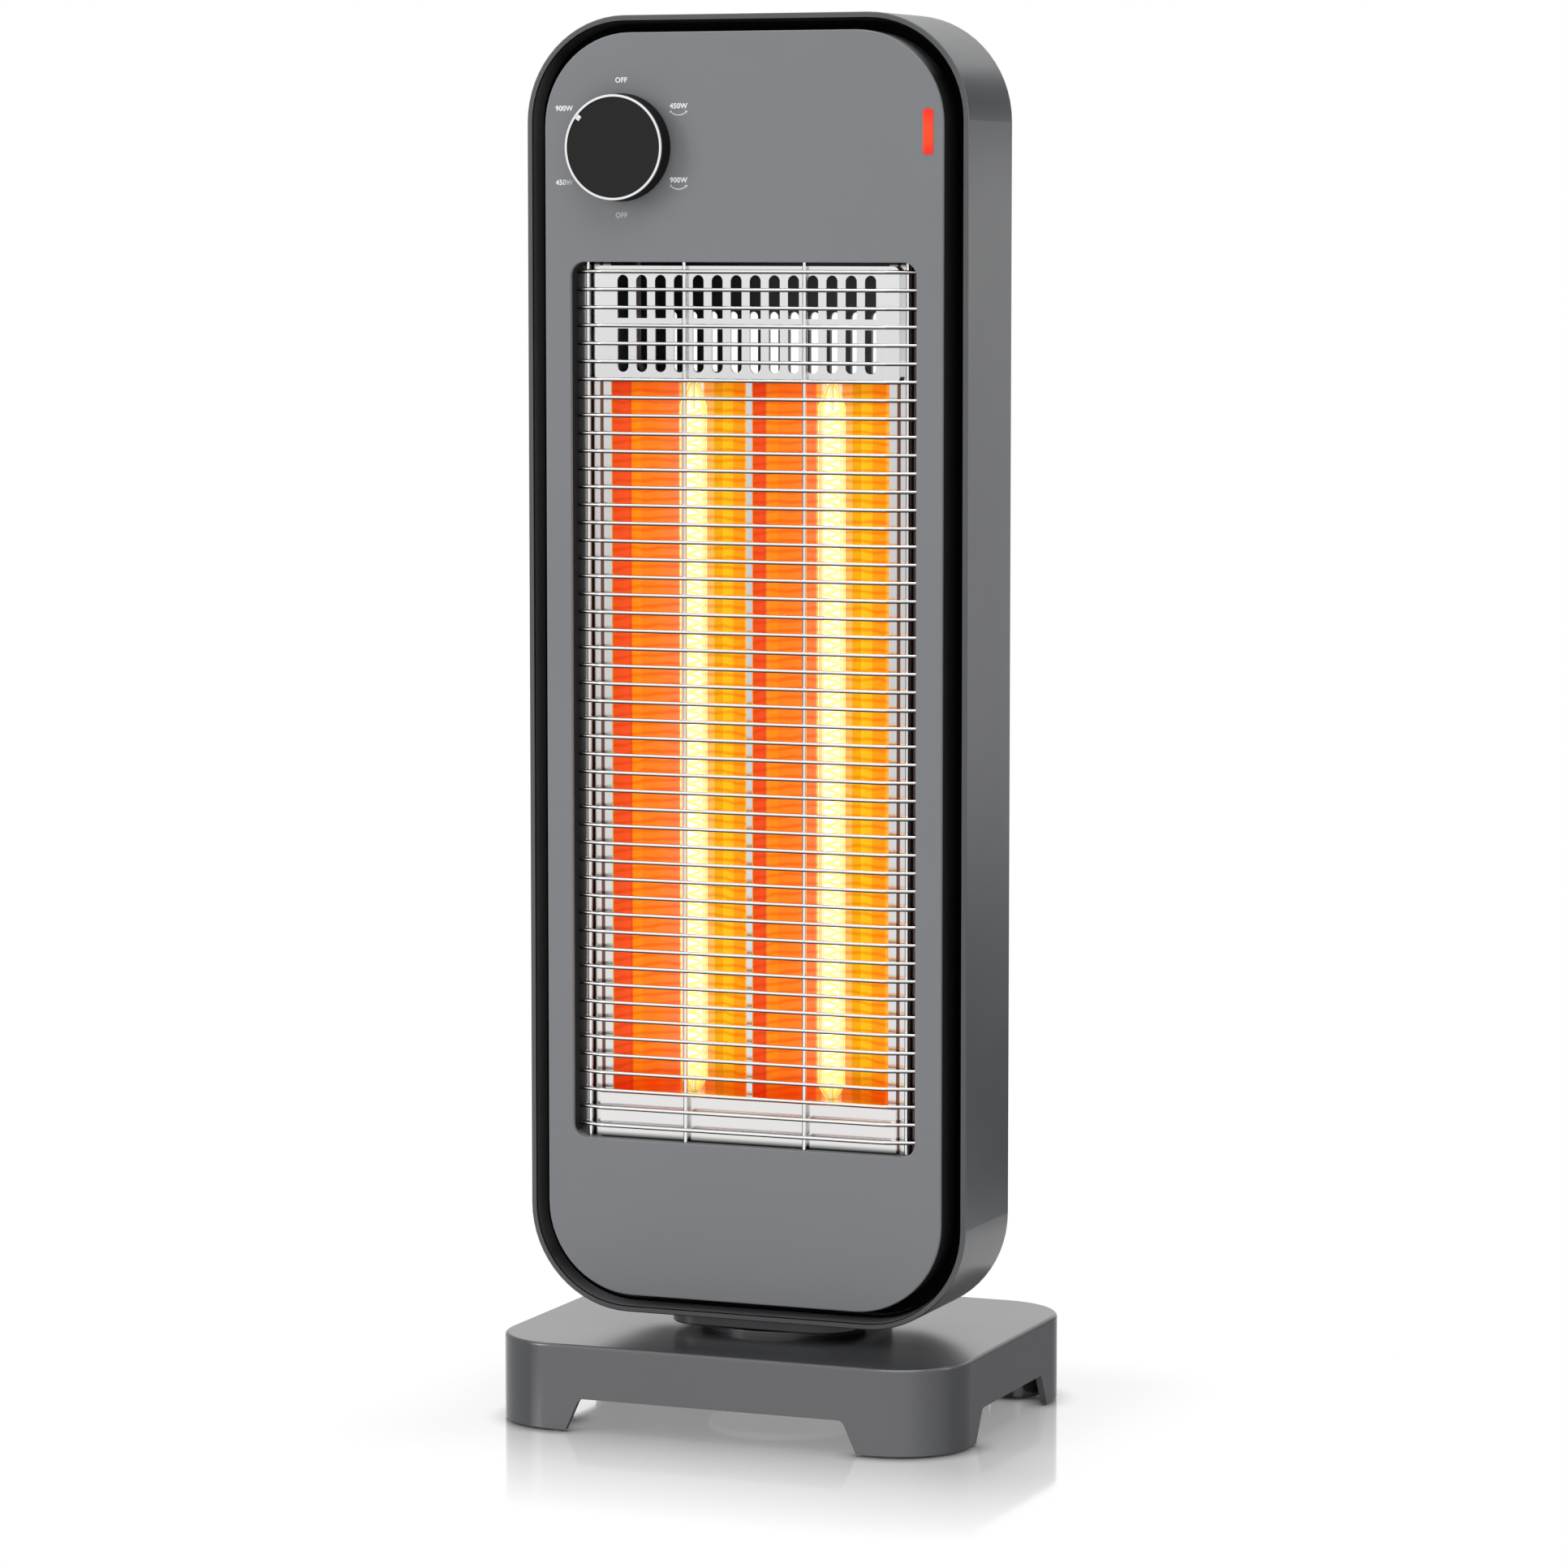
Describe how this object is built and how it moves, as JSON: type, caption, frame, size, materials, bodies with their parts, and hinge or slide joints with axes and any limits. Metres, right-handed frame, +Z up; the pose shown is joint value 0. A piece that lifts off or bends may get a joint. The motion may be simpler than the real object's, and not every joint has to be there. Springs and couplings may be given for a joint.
{
  "type": "carbon heater",
  "caption": "Upright tower room heater with glowing carbon tubes behind a wire guard, a rotary knob, and a swivelling body on a low four-legged base.",
  "frame": {"origin": "on the floor under the swivel axis, at the centre of the base's footprint", "axes": "+Z up along the tower, front faces -Y, +X to the right as seen from the front"},
  "size_m": [0.2114, 0.1678, 0.6],
  "materials": {
    "base_plastic": "fine-grained grey moulding",
    "casing_plastic": "satin dark grey moulding",
    "panel_plastic": "satin grey fascia",
    "black_plastic": "matte black moulding",
    "pale_plastic": "natural nylon moulding",
    "white_plastic": "white moulding",
    "rubber": "moulded black rubber",
    "steel": "zinc-plated steel",
    "chrome_wire": "bright plated wire",
    "chrome_trim": "bright trim ring",
    "polished_sheet": "mirror-polished sheet",
    "plain_sheet": "mill-finish sheet",
    "tube_glass": "clear quartz tube",
    "carbon": "glowing carbon coil",
    "ceramic": "unglazed steatite",
    "red_lens": "lit red lens",
    "lamp_glass": "neon lamp glass",
    "lead_insulation": "woven heat-proof sleeving"
  },
  "bodies": {
    "base": {"base_shell": "base_plastic", "rubber_feet": "rubber", "hub_cap": "pale_plastic", "hub_cap_screws": "steel", "fixed_gear": "pale_plastic", "slide_washer": "pale_plastic"},
    "tower": {"swivel_neck": "casing_plastic", "swivel_hub": "black_plastic", "hub_flange_screws": "steel", "hub_plate": "steel", "hub_plate_screws": "steel", "drive_motor": "steel", "motor_screws": "steel", "casing": "casing_plastic", "rear_cover": "casing_plastic", "rear_cover_screws": "steel", "front_frame": "black_plastic", "frame_screws": "steel", "front_panel": "panel_plastic", "guard_rods": "chrome_wire", "guard_uprights": "chrome_wire", "vent_plate": "polished_sheet", "lower_plate": "polished_sheet", "reflector": "polished_sheet", "reflector_screws": "steel", "heat_shield": "plain_sheet", "left_tube_glass": "tube_glass", "right_tube_glass": "tube_glass", "left_filament": "carbon", "right_filament": "carbon", "left_tube_stems": "steel", "right_tube_stems": "steel", "upper_tube_bushes": "ceramic", "lower_tube_holders": "ceramic", "rotary_switch": "black_plastic", "switch_nut": "steel", "indicator_lens": "red_lens", "indicator_lamp": "lamp_glass", "thermal_cutout": "steel", "terminal_block": "pale_plastic", "cord_gland": "black_plastic", "tip_bracket": "steel", "tip_pivot": "steel", "tip_microswitch": "black_plastic", "switch_leads": "lead_insulation", "tube_leads": "lead_insulation"},
    "knob": {"knob_body": "black_plastic", "knob_ring": "chrome_trim", "knob_pointer": "white_plastic", "switch_shaft": "steel"},
    "pinion": {"motor_shaft": "steel", "drive_pinion": "pale_plastic"},
    "pendulum": {"tip_weight": "steel"}
  },
  "joints": [
    {"name": "swivel", "type": "hinge", "parent": "base", "child": "tower", "pos_m": [0, 0, 0.04], "axis": [0, 0, 1], "range_deg": [-30, 30]},
    {"name": "pinion_spin", "type": "hinge", "parent": "tower", "child": "pinion", "pos_m": [0.028, 0, 0.042], "axis": [0, 0, 1], "range_deg": [-111, 111]},
    {"name": "knob_turn", "type": "hinge", "parent": "tower", "child": "knob", "pos_m": [-0.0548, -0.05, 0.5444], "axis": [0, -1, 0], "continuous": true},
    {"name": "tip_swing", "type": "hinge", "parent": "tower", "child": "pendulum", "pos_m": [-0.041, -0.01, 0.0798], "axis": [0, 1, 0], "range_deg": [-20, 20]}
  ],
  "couplings": [
    {"joint": "pinion_spin", "follows": "swivel", "ratio": 3.6667}
  ]
}
